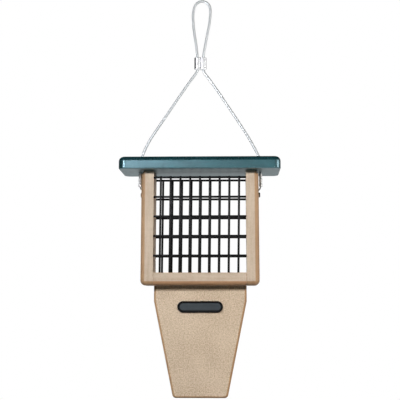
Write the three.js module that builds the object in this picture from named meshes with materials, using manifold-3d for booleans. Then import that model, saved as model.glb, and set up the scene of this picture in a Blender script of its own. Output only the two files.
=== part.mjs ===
// Tail-prop suet feeder: a wire cage between two side boards, a roof that slides up the hanging cable,
// and a long tapering board below the cage that birds brace their tails against.
// Units are millimetres, +Z is up, the front faces -Y.
// The origin is the point inside the top of the cable loop where the feeder hangs from its hook.

import * as THREE from 'three';
import { mergeVertices } from 'three/addons/utils/BufferGeometryUtils.js';
import Module from 'manifold-3d';

const wasm = await Module();
wasm.setup();

// Boards: one stock thickness, sawn and routed
const boardThickness = 16.4;
const cageWidth = 121.2;
const cageDepth = 50.8;
const sideHeight = 148.5;
const outerRound = 6.35;

// Roof
const roofWidth = 208.5;
const roofDepth = 88.9;
const roofCorner = 9;
const roofTopRound = 6.35;
const roofUnderRound = 1.6;

// Tail board
const tailLength = 144.4;
const tailStraight = 20;
const tailFootWidth = 70.6;
const tailFootCorner = 4;
const tailEdgeRound = 3.175;

// Welded mesh panels
const wire = 2.5;
const weldSink = 0.5;
const meshPitchX = 12.7;
const meshPitchZ = 25.4;
const meshColumns = 11;
const meshRows = 6;
const wireStub = 1.6;
const panelOffset = 21.75;
const topWireDrop = 8.2;

// Hanging cable and what is crimped on it
const cable = 3.4;
const loopDrop = 75.2;
const strandOffset = 3.8;
const ferruleHeight = 16.2;
const ferruleLobe = 8.5;
const ferruleEdge = 1;
const bailRise = 121.4;
const cableHole = 5.5;

// Bare eyes at the two ends of the cable
const eyeWire = 1.6;
const eyeStrandOffset = 1.25;
const sleeveThickness = 4.2;
const sleeveHeight = 17;
const sleeveDrop = 1.8;
const sleeveEdge = 0.6;
const eyeScrewDrop = 29.7;
const eyeRecessWidth = 10;
const eyeRecessRise = 8;
const eyeRecessDepth = 1.9;
const eyeShoulderShare = 1.4;
const eyeStepShares = [1 / 3, 2 / 3];

// Screws
const panHead = 6.6;
const panHeadHeight = 1.5;
const panShank = 3.5;
const panReach = 12.5;
const flatHead = 7;
const flatHeadDepth = 2.2;
const flatShank = 3.4;
const screwTip = 4;
const railScrewLength = 38;
const tailScrewLength = 44;
const railScrewSpacing = 24;
const railScrewRise = 9.9;
const tailScrewSpacing = 76;

// Bare plate on the tail board
const badgeWidth = 59;
const badgeHeight = 15;
const badgeThickness = 1.6;
const badgeEdge = 0.5;
const badgeDrop = 27.2;

// Clearances
const seat = 0.3;
const hover = 0.3;
const overrun = 5;

// Smoothness: each quarter turn of an outline takes twice the corner segments
const roundSegments = 5;
const smallRoundSegments = 2;
const cornerSegments = 3;
const pillSegments = 5;
const badgeSegments = 8;
const weldTolerance = 1e-4;
const wireSides = 6;
const cableSides = 8;
const eyeSteps = 9;
const barrelSides = 20;
const screwSides = 14;

// Heights that follow from the sizes above
const ferruleTop = -loopDrop;
const ferruleBottom = ferruleTop - ferruleHeight;
const roofTop = ferruleBottom - bailRise;
const roofUnder = roofTop - boardThickness;
const postTop = roofUnder - seat;
const railBottom = postTop - sideHeight;
const railTop = railBottom + boardThickness;
const tailTop = railBottom - seat;
const topWire = postTop - topWireDrop;
const lowestWire = topWire - (meshRows - 1) * meshPitchZ;
const sideInnerX = cageWidth / 2;
const sideOuterX = sideInnerX + boardThickness;
const railLength = cageWidth - 2 * seat;
const sleeveX = sideOuterX + hover + sleeveThickness / 2;
const sleeveTop = roofUnder - sleeveDrop;
const sleeveBottom = sleeveTop - sleeveHeight;

// Mesh panel and the saw kerfs that hold it
const panelThickness = 2 * wire - weldSink;
const kerfWidth = panelThickness + 2 * hover;
const panelHalfWidth = (meshColumns - 1) / 2 * meshPitchX + wireStub;
const kerfDepth = panelHalfWidth + hover - sideInnerX;
const panelBottom = lowestWire - wireStub;
const kerfBottom = panelBottom - hover;

// Colours seen in the photograph
const green = new THREE.MeshStandardMaterial({ color: '#1f4b45', roughness: 0.35 });
const tan = new THREE.MeshStandardMaterial({ color: '#bfa387', roughness: 0.55 });
const coatedWire = new THREE.MeshStandardMaterial({ color: '#141414', roughness: 0.4 });
const clearCable = new THREE.MeshStandardMaterial({ color: '#c9cbcc', roughness: 0.3, metalness: 0.4 });
const aluminium = new THREE.MeshStandardMaterial({ color: '#c8c9ca', roughness: 0.25, metalness: 1 });
const steel = new THREE.MeshStandardMaterial({ color: '#9c9a96', roughness: 0.35, metalness: 1 });
const blackPlate = new THREE.MeshStandardMaterial({ color: '#0b0c0d', roughness: 0.15 });

// A closed geometry as a solid that can be joined and cut
function solid(geometry, matrix = new THREE.Matrix4()) {
  const bare = geometry.clone().applyMatrix4(matrix);
  bare.deleteAttribute('normal');
  bare.deleteAttribute('uv');
  const merged = mergeVertices(bare, weldTolerance);
  return new wasm.Manifold(new wasm.Mesh({
    numProp: 3,
    vertProperties: new Float32Array(merged.attributes.position.array),
    triVerts: new Uint32Array(merged.index.array),
  }));
}

// A solid back as a geometry
function geometryOf(body) {
  const { vertProperties, triVerts } = body.getMesh();
  const geometry = new THREE.BufferGeometry();
  geometry.setAttribute('position', new THREE.BufferAttribute(new Float32Array(vertProperties), 3));
  geometry.setIndex(new THREE.BufferAttribute(new Uint32Array(triVerts), 1));
  geometry.computeVertexNormals();
  return geometry;
}

function moved(x, y, z) {
  return new THREE.Matrix4().makeTranslation(x, y, z);
}

function block(width, depth, height, x, y, z) {
  return solid(new THREE.BoxGeometry(width, depth, height), moved(x, y, z));
}

// A rectangle about the centre, with round corners
function roundedRectangle(width, height, corner) {
  const shape = new THREE.Shape();
  const x = width / 2 - corner;
  const y = height / 2 - corner;
  shape.absarc(x, -y, corner, -Math.PI / 2, 0);
  shape.absarc(x, y, corner, 0, Math.PI / 2);
  shape.absarc(-x, y, corner, Math.PI / 2, Math.PI);
  shape.absarc(-x, -y, corner, Math.PI, Math.PI * 1.5);
  shape.closePath();
  return shape;
}

// A pill along X about the centre
function pill(length, width) {
  const shape = new THREE.Shape();
  const x = (length - width) / 2;
  shape.absarc(x, 0, width / 2, -Math.PI / 2, Math.PI / 2);
  shape.absarc(-x, 0, width / 2, Math.PI / 2, Math.PI * 1.5);
  shape.closePath();
  return shape;
}

// A plain rectangle between two corners
function rectangle(left, bottom, right, top) {
  return new THREE.Shape([
    new THREE.Vector2(left, bottom),
    new THREE.Vector2(right, bottom),
    new THREE.Vector2(right, top),
    new THREE.Vector2(left, top),
  ]);
}

// A slab of an outline with its edges rounded on both faces, from zero up to its thickness along Z
function roundedSlab(outline, thickness, round,
  bevelSegments = roundSegments, curveSegments = cornerSegments) {
  const geometry = new THREE.ExtrudeGeometry(outline, {
    depth: thickness - 2 * round,
    bevelThickness: round,
    bevelSize: round,
    bevelOffset: -round,
    bevelSegments,
    curveSegments,
  });
  return geometry.translate(0, 0, round);
}

// A cylinder of a given length along an axis, centred on a point
function bore(radius, length, axis, x, y, z) {
  const turn = new THREE.Quaternion().setFromUnitVectors(new THREE.Vector3(0, 1, 0), axis);
  const place = new THREE.Matrix4().compose(
    new THREE.Vector3(x, y, z), turn, new THREE.Vector3(1, 1, 1));
  return solid(new THREE.CylinderGeometry(radius, radius, length, barrelSides), place);
}

// A route whose steps fall on its own points, so a tube can step closely round bends
class Route extends THREE.CatmullRomCurve3 {
  getPointAt(share, target) {
    return this.getPoint(share, target);
  }

  getTangentAt(share, target) {
    return this.getTangent(share, target);
  }
}

function tube(points, diameter, sides) {
  const section = new THREE.Shape(Array.from({ length: sides }, (_, i) => (
    new THREE.Vector2(diameter / 2, 0).rotateAround(new THREE.Vector2(), i / sides * 2 * Math.PI))));
  return new THREE.ExtrudeGeometry(section, {
    extrudePath: new Route(points),
    steps: points.length - 1,
  });
}

// Saw kerfs for both mesh panels, as blocks of a given width and height
function kerfs(width, height, x, z) {
  return [-1, 1].map((face) => block(width, kerfWidth, height, x, face * panelOffset, z));
}

function cut(body, tools) {
  return tools.reduce((left, tool) => left.subtract(tool), body);
}

// Countersunk wood screw pointing along -Z, its head flush with zero
function flatScrew(length) {
  const shank = flatShank / 2;
  return new THREE.LatheGeometry([
    new THREE.Vector2(0, -length),
    new THREE.Vector2(shank, -length + screwTip),
    new THREE.Vector2(shank, -flatHeadDepth),
    new THREE.Vector2(flatHead / 2, 0),
    new THREE.Vector2(0, 0),
  ], screwSides).rotateX(Math.PI / 2);
}

// The hole for it, wider all round by the seat and open at the top
function flatScrewHole(length) {
  const shank = flatShank / 2 + seat;
  const head = flatHead / 2 + seat;
  return new THREE.LatheGeometry([
    new THREE.Vector2(0, -length - seat),
    new THREE.Vector2(shank, -length + screwTip - seat),
    new THREE.Vector2(shank, -flatHeadDepth - seat),
    new THREE.Vector2(head, -seat),
    new THREE.Vector2(head, overrun),
    new THREE.Vector2(0, overrun),
  ], screwSides).rotateX(Math.PI / 2);
}

// Low pan-head screw pointing along -Z, the underside of its head at zero
function panScrew() {
  const head = panHead / 2;
  const dome = panHeadHeight / 2;
  const shank = panShank / 2;
  const crown = Array.from({ length: roundSegments + 1 }, (_, i) => {
    const angle = i / roundSegments * Math.PI / 2;
    return new THREE.Vector2(head - dome + dome * Math.cos(angle), dome + dome * Math.sin(angle));
  });
  return new THREE.LatheGeometry([
    new THREE.Vector2(0, -panReach),
    new THREE.Vector2(shank, -panReach + screwTip),
    new THREE.Vector2(shank, 0),
    new THREE.Vector2(head, 0),
    ...crown,
    new THREE.Vector2(0, panHeadHeight),
  ], screwSides).rotateX(Math.PI / 2);
}

// The turn that points a screw made along -Z towards the middle of the cage from one side
function fromSide(side) {
  return new THREE.Matrix4().makeRotationY(side * Math.PI / 2);
}

const eyeScrewZ = postTop - eyeScrewDrop;
const railScrewPlaces = [-1, 1].flatMap((side) => [-1, 1].map((face) => ({
  name: `rail_screw_${side < 0 ? 'left' : 'right'}_${face < 0 ? 'front' : 'back'}`,
  side,
  matrix: moved(side * (sideOuterX - hover), face * railScrewSpacing / 2, railBottom + railScrewRise)
    .multiply(fromSide(side)),
})));
const tailScrewPlaces = [-1, 1].map((side) => ({
  name: `tail_screw_${side < 0 ? 'left' : 'right'}`,
  matrix: moved(side * tailScrewSpacing / 2, 0, railTop - hover),
}));

// The pocket pressed into a side board by the cable's eye and its screw
function eyeRecess(side) {
  const outline = pill(eyeRecessRise + eyeRecessWidth, eyeRecessWidth);
  const pocket = new THREE.ExtrudeGeometry(outline, {
    depth: eyeRecessDepth + overrun,
    bevelEnabled: false,
    curveSegments: pillSegments,
  }).rotateZ(Math.PI / 2);
  const place = moved(side * (sideOuterX - eyeRecessDepth), 0, eyeScrewZ + eyeRecessRise / 2)
    .multiply(new THREE.Matrix4().makeRotationZ(side * Math.PI / 2))
    .multiply(new THREE.Matrix4().makeRotationX(Math.PI / 2));
  return solid(pocket, place);
}

// A bar along X as deep as the cage, from the foot of the rail up to a height, rounded over along its
// two lower edges
function footedBar(length, x, top) {
  const y = cageDepth / 2;
  const section = new THREE.Shape();
  section.moveTo(-y, top);
  section.lineTo(-y, railBottom + outerRound);
  section.absarc(-y + outerRound, railBottom + outerRound, outerRound, Math.PI, Math.PI * 1.5);
  section.absarc(y - outerRound, railBottom + outerRound, outerRound, -Math.PI / 2, 0);
  section.lineTo(y, top);
  section.closePath();
  const bar = new THREE.ExtrudeGeometry(section, {
    depth: length,
    bevelEnabled: false,
    curveSegments: cornerSegments,
  });
  const place = moved(x - length / 2, 0, 0)
    .multiply(new THREE.Matrix4().makeRotationZ(Math.PI / 2))
    .multiply(new THREE.Matrix4().makeRotationX(Math.PI / 2));
  return solid(bar, place);
}

// Side board: square towards the cage, its other edges and the ends of its foot rounded over
function sideBoard(side) {
  const outline = rectangle(-cageDepth / 2, railBottom, cageDepth / 2, postTop);
  const stock = roundedSlab(outline, boardThickness + overrun, outerRound);
  const place = moved(side * (sideInnerX - overrun), 0, 0)
    .multiply(new THREE.Matrix4().makeRotationZ(side * Math.PI / 2))
    .multiply(new THREE.Matrix4().makeRotationX(Math.PI / 2));
  const kerfHeight = postTop - kerfBottom + overrun;
  const pilot = bore(panShank / 2 + seat, panReach + overrun, new THREE.Vector3(1, 0, 0),
    side * (sideOuterX - panReach / 2 + overrun / 2), 0, eyeScrewZ);
  const middle = side * (sideInnerX + boardThickness / 2);
  const foot = footedBar(boardThickness + 2 * overrun, middle, postTop + overrun);
  return cut(solid(stock, place).intersect(foot), [
    block(2 * sideInnerX, cageDepth + overrun, sideHeight + overrun, 0, 0, railBottom + sideHeight / 2),
    ...kerfs(2 * kerfDepth, kerfHeight, side * sideInnerX, kerfBottom + kerfHeight / 2),
    ...railScrewPlaces.filter((p) => p.side === side)
      .map((p) => solid(flatScrewHole(railScrewLength), p.matrix)),
    eyeRecess(side),
    pilot,
  ]);
}

// Bottom rail between the side boards, rounded over along its two lower edges
function bottomRail() {
  const kerfHeight = railTop - kerfBottom + overrun;
  return cut(footedBar(railLength, 0, railTop), [
    ...kerfs(cageWidth + overrun, kerfHeight, 0, kerfBottom + kerfHeight / 2),
    ...railScrewPlaces.map((p) => solid(flatScrewHole(railScrewLength), p.matrix)),
    ...tailScrewPlaces.map((p) => solid(flatScrewHole(tailScrewLength), p.matrix)),
  ]);
}

// Tail board: as wide as the rail, straight for a little way, then tapering to its foot
function tailBoard() {
  const top = railLength / 2;
  const foot = tailFootWidth / 2;
  const bottom = tailTop - tailLength;
  const taper = tailTop - tailStraight;
  const lean = Math.atan2(top - foot, taper - bottom);
  const turn = Math.PI / 2 - lean;
  const inset = tailFootCorner * Math.tan(turn / 2);
  const outline = new THREE.Shape();
  outline.moveTo(-top, tailTop + overrun);
  outline.lineTo(-top, taper);
  outline.absarc(-foot + inset, bottom + tailFootCorner, tailFootCorner, Math.PI + lean, Math.PI * 1.5);
  outline.absarc(foot - inset, bottom + tailFootCorner, tailFootCorner, -Math.PI / 2, -lean);
  outline.lineTo(top, taper);
  outline.lineTo(top, tailTop + overrun);
  outline.closePath();
  const stock = roundedSlab(outline, boardThickness, tailEdgeRound);
  const place = moved(0, boardThickness / 2, 0).multiply(new THREE.Matrix4().makeRotationX(Math.PI / 2));
  return cut(solid(stock, place), [
    block(cageWidth, cageDepth, 2 * overrun, 0, 0, tailTop + overrun),
    ...tailScrewPlaces.map((p) => solid(flatScrewHole(tailScrewLength), p.matrix)),
  ]);
}

// Roof: round plan corners, a full round-over on top and a slight one underneath
function roofBoard() {
  const outline = roundedRectangle(roofWidth, roofDepth, roofCorner);
  const deep = boardThickness + outerRound + overrun;
  const topShape = solid(roundedSlab(outline, deep, roofTopRound), moved(0, 0, roofTop - deep));
  const underShape = solid(roundedSlab(outline, deep, roofUnderRound, smallRoundSegments),
    moved(0, 0, roofUnder));
  const up = new THREE.Vector3(0, 0, 1);
  return cut(topShape.intersect(underShape), [-1, 1].map((side) => (
    bore(cableHole / 2, boardThickness + overrun, up, side * sleeveX, 0, (roofTop + roofUnder) / 2))));
}

// Welded mesh panel: level wires inside, upright wires outside, each sunk a little into the other
function meshPanel(face) {
  const level = face * (panelOffset - (wire - weldSink) / 2);
  const upright = face * (panelOffset + (wire - weldSink) / 2);
  const levelRod = new THREE.CylinderGeometry(wire / 2, wire / 2, 2 * panelHalfWidth, wireSides)
    .rotateZ(Math.PI / 2);
  const uprightHeight = topWire - lowestWire + 2 * wireStub;
  const uprightRod = new THREE.CylinderGeometry(wire / 2, wire / 2, uprightHeight, wireSides)
    .rotateX(Math.PI / 2);
  const rows = Array.from({ length: meshRows }, (_, row) => (
    solid(levelRod, moved(0, level, topWire - row * meshPitchZ))));
  const columns = Array.from({ length: meshColumns }, (_, column) => (
    solid(uprightRod, moved((column - (meshColumns - 1) / 2) * meshPitchX, upright,
      (topWire + lowestWire) / 2))));
  return wasm.Manifold.union([...rows, ...columns]);
}

// Two-barrel ferrule: two lobes pressed together, with a bore for each strand
function loopFerrule() {
  const radius = ferruleLobe / 2;
  const edge = Array.from({ length: roundSegments + 1 }, (_, i) => {
    const angle = i / roundSegments * Math.PI / 2;
    return [radius - ferruleEdge + ferruleEdge * Math.sin(angle), ferruleEdge - ferruleEdge * Math.cos(angle)];
  });
  const profile = [
    new THREE.Vector2(0, ferruleBottom),
    ...edge.map(([r, rise]) => new THREE.Vector2(r, ferruleBottom + rise)),
    ...edge.reverse().map(([r, rise]) => new THREE.Vector2(r, ferruleTop - rise)),
    new THREE.Vector2(0, ferruleTop),
  ];
  const lobe = new THREE.LatheGeometry(profile, barrelSides).rotateX(Math.PI / 2);
  const [left, right] = [-1, 1].map((side) => solid(lobe, moved(side * strandOffset, 0, 0)));
  const up = new THREE.Vector3(0, 0, 1);
  return cut(left.add(right), [-1, 1].map((side) => (
    bore(cable / 2 + hover, ferruleHeight + overrun, up, side * strandOffset, 0,
      (ferruleTop + ferruleBottom) / 2))));
}

// Oval end sleeve over the two strands of an eye
function endSleeve() {
  const width = 2 * eyeStrandOffset + sleeveThickness;
  const slot = eyeWire + 2 * hover;
  const body = roundedSlab(pill(width, sleeveThickness), sleeveHeight, sleeveEdge,
    smallRoundSegments, pillSegments).rotateZ(Math.PI / 2);
  const opening = new THREE.ExtrudeGeometry(pill(slot + 2 * eyeStrandOffset, slot), {
    depth: sleeveHeight + 2 * overrun,
    bevelEnabled: false,
    curveSegments: pillSegments,
  }).rotateZ(Math.PI / 2);
  return solid(body, moved(0, 0, sleeveBottom))
    .subtract(solid(opening, moved(0, 0, sleeveBottom - overrun)));
}

// Bare wire eye: down one side of the sleeve, into the pocket, round the screw and back up
function eyeLoop(side) {
  const floor = sideOuterX - eyeRecessDepth + seat + eyeWire / 2;
  const radius = panShank / 2 + hover + eyeWire / 2;
  const start = new THREE.Vector3(sleeveX, eyeStrandOffset, sleeveTop - hover);
  const leave = new THREE.Vector3(sleeveX, eyeStrandOffset, sleeveBottom - eyeWire / 2);
  const shoulder = new THREE.Vector3(floor, radius, eyeScrewZ + radius * eyeShoulderShare);
  const down = [
    start,
    start.clone().lerp(leave, 1 / 2),
    leave.clone().setZ(sleeveBottom + eyeWire),
    leave,
    ...eyeStepShares.map((share) => leave.clone().lerp(shoulder, share)),
    shoulder,
  ];
  const round = Array.from({ length: eyeSteps + 1 }, (_, i) => {
    const angle = i / eyeSteps * Math.PI;
    return new THREE.Vector3(floor, radius * Math.cos(angle), eyeScrewZ - radius * Math.sin(angle));
  });
  const up = down.map((point) => point.clone().setY(-point.y)).reverse();
  const route = [...down, ...round, ...up].map((point) => point.clone().setX(side * point.x));
  return tube(route, eyeWire, wireSides);
}

// The cable's route: up from the left sleeve through the roof to the ferrule, round the loop and down
const cableRoute = [
  [-79.4, 0, -230.7], [-79.4, 0, -224.5], [-79.3, 0, -219.5], [-78.9, 0, -215.3], [-78.1, 0, -211.3],
  [-76.7, 0, -206.8], [-74.9, 0, -202], [-72.7, 0, -197], [-69.8, 0, -191], [-66.5, 0, -185],
  [-62.6, 0, -179], [-58.6, 0, -173], [-50.7, 0, -161.2], [-42.8, 0, -149.5], [-35, 0, -137.9],
  [-27.1, 0, -126.3], [-19.6, 0, -115.3], [-14.6, 0, -108.2], [-11.6, 0, -104], [-8.9, 0, -100.4],
  [-6.2, 0, -96.9], [-5, 0, -94.9], [-4.25, 0, -93], [-3.9, 0, -91.3], [-3.8, 0, -89.5], [-3.8, 0, -86],
  [-3.8, 0, -80], [-3.85, 0, -75.2], [-4.2, 0, -70.3], [-4.8, 0, -64.3], [-5.6, 0, -57.8], [-6.6, 0, -51],
  [-7.7, 0, -44], [-8.6, 0, -37.2], [-9.2, 0, -30.8], [-9.6, 0, -25], [-9.8, 0, -20], [-9.6, 0, -15.2],
  [-9, 0, -10.6], [-7.9, 0, -6.6], [-6.69, 0, -3.55], [-4.35, 0, -0.76], [-1.19, 0, 1.07], [2.4, 0, 1.7],
  [5.99, 0, 1.07], [9.15, 0, -0.76], [11.49, 0, -3.55], [12.8, 0, -6.7], [13.4, 0, -10.8], [13.4, 0, -15.4],
  [13.1, 0, -20], [12.5, 0, -25], [11.7, 0, -30.8], [10.5, 0, -37.2], [9.2, 0, -44], [7.9, 0, -51],
  [6.6, 0, -57.8], [5.4, 0, -64.3], [4.4, 0, -70.3], [3.85, 0, -75.2], [3.8, 0, -80], [3.8, 0, -86],
  [3.8, 0, -89.5], [3.9, 0, -91.3], [4.25, 0, -93], [5, 0, -94.9], [6.2, 0, -96.9], [8.9, 0, -100.4],
  [11.6, 0, -104], [14.6, 0, -108.2], [20, 0, -115.9], [27.4, 0, -126.8], [35, 0, -138.3],
  [42.1, 0, -149.1], [49.4, 0, -160.2], [57.6, 0, -173], [61.4, 0, -179], [65, 0, -185], [68.3, 0, -191],
  [71.5, 0, -197], [74.2, 0, -202], [76.5, 0, -206.8], [78.1, 0, -211.3], [78.9, 0, -215.3],
  [79.3, 0, -219.5], [79.4, 0, -224.5], [79.4, 0, -230.7],
];

function hangingCable() {
  return tube(cableRoute.map((point) => new THREE.Vector3(...point)), cable, cableSides);
}

function badgePlate() {
  return roundedSlab(pill(badgeWidth, badgeHeight), badgeThickness, badgeEdge,
    smallRoundSegments, badgeSegments).rotateX(Math.PI / 2);
}

function piece(name, geometry, material, matrix = new THREE.Matrix4()) {
  const mesh = new THREE.Mesh(geometry, material);
  mesh.name = name;
  matrix.decompose(mesh.position, mesh.quaternion, mesh.scale);
  return mesh;
}

const feeder = new THREE.Group();
const cage = new THREE.Group();
const roof = new THREE.Group();
const bail = new THREE.Group();
feeder.add(cage, roof, bail);

cage.add(piece('bottom_rail', geometryOf(bottomRail()), tan));
cage.add(piece('tail_board', geometryOf(tailBoard()), tan));
cage.add(piece('badge_plate', badgePlate(), blackPlate,
  moved(0, -boardThickness / 2 - seat, tailTop - badgeDrop)));
cage.add(piece('mesh_front', geometryOf(meshPanel(-1)), coatedWire));
cage.add(piece('mesh_back', geometryOf(meshPanel(1)), coatedWire));
railScrewPlaces.forEach((p) => cage.add(piece(p.name, flatScrew(railScrewLength), steel, p.matrix)));
tailScrewPlaces.forEach((p) => cage.add(piece(p.name, flatScrew(tailScrewLength), steel, p.matrix)));

[-1, 1].forEach((side) => {
  const hand = side < 0 ? 'left' : 'right';
  cage.add(piece(`side_board_${hand}`, geometryOf(sideBoard(side)), tan));
  cage.add(piece(`cable_screw_${hand}`, panScrew(), steel,
    moved(side * (sideOuterX + hover), 0, eyeScrewZ).multiply(fromSide(side))));
  bail.add(piece(`end_sleeve_${hand}`, geometryOf(endSleeve()), aluminium, moved(side * sleeveX, 0, 0)));
  bail.add(piece(`cable_eye_${hand}`, eyeLoop(side), steel));
});

bail.add(piece('hanging_cable', hangingCable(), clearCable));
bail.add(piece('loop_ferrule', geometryOf(loopFerrule()), aluminium));
roof.add(piece('roof_board', geometryOf(roofBoard()), green));

export default feeder;
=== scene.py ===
import math

import bmesh
import bpy
from mathutils import Matrix, Vector


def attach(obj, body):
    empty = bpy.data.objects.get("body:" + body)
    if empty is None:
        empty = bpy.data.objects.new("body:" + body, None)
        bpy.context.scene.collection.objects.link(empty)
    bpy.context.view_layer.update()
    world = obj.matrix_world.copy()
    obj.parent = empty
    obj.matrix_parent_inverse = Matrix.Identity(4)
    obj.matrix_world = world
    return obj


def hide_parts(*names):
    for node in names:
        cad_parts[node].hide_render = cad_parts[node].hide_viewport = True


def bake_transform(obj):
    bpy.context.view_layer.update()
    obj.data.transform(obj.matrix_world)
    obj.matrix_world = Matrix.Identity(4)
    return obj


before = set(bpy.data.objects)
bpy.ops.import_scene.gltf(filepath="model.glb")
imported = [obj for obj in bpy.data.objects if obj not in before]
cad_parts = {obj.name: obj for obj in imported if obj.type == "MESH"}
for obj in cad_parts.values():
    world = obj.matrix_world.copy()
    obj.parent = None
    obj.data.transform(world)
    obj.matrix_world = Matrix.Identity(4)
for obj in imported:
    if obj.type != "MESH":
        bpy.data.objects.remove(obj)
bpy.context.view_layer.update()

# Sizes are millimetres, as in the part's source, until a piece is kept in metres
MM = 0.001
OVERRUN = 5  # how far a cutting tool reaches past a face
SEAT = 0.3  # gap under the pan heads, the eye and the plate, and how far the flat heads are sunk

# Boards
CAGE_HALF = 60.6
OUTER_HALF = 77.0
CAGE_FRONT = 25.4
RAIL_HALF = 60.3
POST_TOP = -229.5
RAIL_TOP = -361.6
RAIL_BOTTOM = -378.0
FRAME_ROUND = 6.35
FRAME_STEPS = 8
LEAN = 0.9  # how far the cable draws the top of a side board in
TAIL_TOP = -378.3
TAIL_TAPER = -398.3
TAIL_FOOT = -522.7
TAIL_FOOT_HALF = 35.3
TAIL_FRONT = 8.2
TAIL_CORNER = 4
TAIL_ROUND = 3.175
ROOF_TOP = -212.8
ROOF_UNDER = -229.2
ROOF_HALF = 104.25
ROOF_FRONT = 44.45
ROOF_CORNER = 9
ROOF_EASE = 1.6
ROOF_HOLE = 2.75

# Saw kerfs in the side boards and the rail: from and to in depth, how deep in the boards, and their foot
KERF_NEAR = 19.2
KERF_FAR = 24.3
KERF_DEEP = 6.2
KERF_FOOT = -366.6

# Wire mesh, and how each panel lies within its play: shifted, up or down, its uprights a little askew
WIRE = 2.85
ROWS = 6
COLUMNS = 11
PITCH_X = 12.7
PITCH_Z = 25.4
TOP_WIRE = -237.7
LEVEL_Y = 20.75
LEVEL_LENGTH = 130.2
UPRIGHT_Y = 22.75
UPRIGHT_EXTRA = 3.2
WELD = (1.6, 1.7, 1.6)
MESH_DROP = 0.25
MESH_SHIFT = -0.45
MESH_LEAN = 0.0115

# Cable and what is crimped on it
CABLE = 3.4
STRAND_X = 3.8
BARREL = 8.5
FERRULE = (-91.4, -75.2)
SLEEVE_X = 79.4
SLEEVE = (-248.0, -231.0)
SLEEVE_OVAL = (6.7, 4.2)
SLEEVE_SLOT = (4.5, 2.2)
STUB_END = -221.6

# Screws and the pocket in a side board that the cable's eye lies in
EYE_WIRE = 1.6
EYE_RADIUS = 2.85
SCREW_Z = -259.2
POCKET = (18, 10)
POCKET_DEEP = 1.9
POCKET_ROUND = 1.2
RAIL_SCREW_Y = 12
RAIL_SCREW_RISE = 9.9
RAIL_SCREW_LENGTH = 38
TAIL_SCREW_X = 38
TAIL_SCREW_LENGTH = 44

# Plate
BADGE = (59, 15)
BADGE_THICK = 1.6
BADGE_EDGE = 0.5
BADGE_Z = -405.5

# The cable's centreline, as (x, z), from the left sleeve over the loop to the right sleeve
ROUTE = [
    (-79.4, -230.7), (-79.4, -224.5), (-79.3, -219.5), (-78.9, -215.3), (-78.1, -211.3),
    (-76.7, -206.8), (-74.9, -202), (-72.7, -197), (-69.8, -191), (-66.5, -185),
    (-62.6, -179), (-58.6, -173), (-50.7, -161.2), (-42.8, -149.5), (-35, -137.9),
    (-27.1, -126.3), (-19.6, -115.3), (-14.6, -108.2), (-11.6, -104), (-8.9, -100.4),
    (-6.2, -96.9), (-5, -94.9), (-4.25, -93), (-3.9, -91.3), (-3.8, -89.5), (-3.8, -86),
    (-3.8, -80), (-3.85, -75.2), (-4.2, -70.3), (-4.8, -64.3), (-5.6, -57.8), (-6.6, -51),
    (-7.7, -44), (-8.6, -37.2), (-9.2, -30.8), (-9.6, -25), (-9.8, -20), (-9.6, -15.2),
    (-9, -10.6), (-7.9, -6.6), (-6.69, -3.55), (-4.35, -0.76), (-1.19, 1.07), (2.4, 1.7),
    (5.99, 1.07), (9.15, -0.76), (11.49, -3.55), (12.8, -6.7), (13.4, -10.8), (13.4, -15.4),
    (13.1, -20), (12.5, -25), (11.7, -30.8), (10.5, -37.2), (9.2, -44), (7.9, -51),
    (6.6, -57.8), (5.4, -64.3), (4.4, -70.3), (3.85, -75.2), (3.8, -80), (3.8, -86),
    (3.8, -89.5), (3.9, -91.3), (4.25, -93), (5, -94.9), (6.2, -96.9), (8.9, -100.4),
    (11.6, -104), (14.6, -108.2), (20, -115.9), (27.4, -126.8), (35, -138.3),
    (42.1, -149.1), (49.4, -160.2), (57.6, -173), (61.4, -179), (65, -185), (68.3, -191),
    (71.5, -197), (74.2, -202), (76.5, -206.8), (78.1, -211.3), (78.9, -215.3),
    (79.3, -219.5), (79.4, -224.5), (79.4, -230.7),
]


# ---- materials ----

def linear(code):
    """An sRGB hex colour as the linear colour that a shader takes, with full alpha."""
    parts = [int(code[i:i + 2], 16) / 255 for i in (1, 3, 5)]
    return [p / 12.92 if p <= 0.04045 else ((p + 0.055) / 1.055) ** 2.4 for p in parts] + [1.0]


def node(tree, kind, inputs=(), **settings):
    """Adds a shader node with its settings, its values and its links. Its inputs are a list in the order
    of its sockets, or named. A node given as an input is linked by the first of its outputs in use."""
    made = tree.nodes.new("ShaderNode" + kind)
    for name, value in settings.items():
        setattr(made, name, value)
    for socket, value in inputs.items() if isinstance(inputs, dict) else enumerate(inputs):
        if isinstance(value, bpy.types.Node):
            value = next(output for output in value.outputs if output.enabled)
        if isinstance(value, bpy.types.NodeSocket):
            tree.links.new(value, made.inputs[socket])
        else:
            made.inputs[socket].default_value = value
    return made


def material(name):
    """An empty material and the tree to fill."""
    made = bpy.data.materials.new(name)
    made.use_nodes = True
    made.node_tree.nodes.clear()
    return made, made.node_tree


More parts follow.
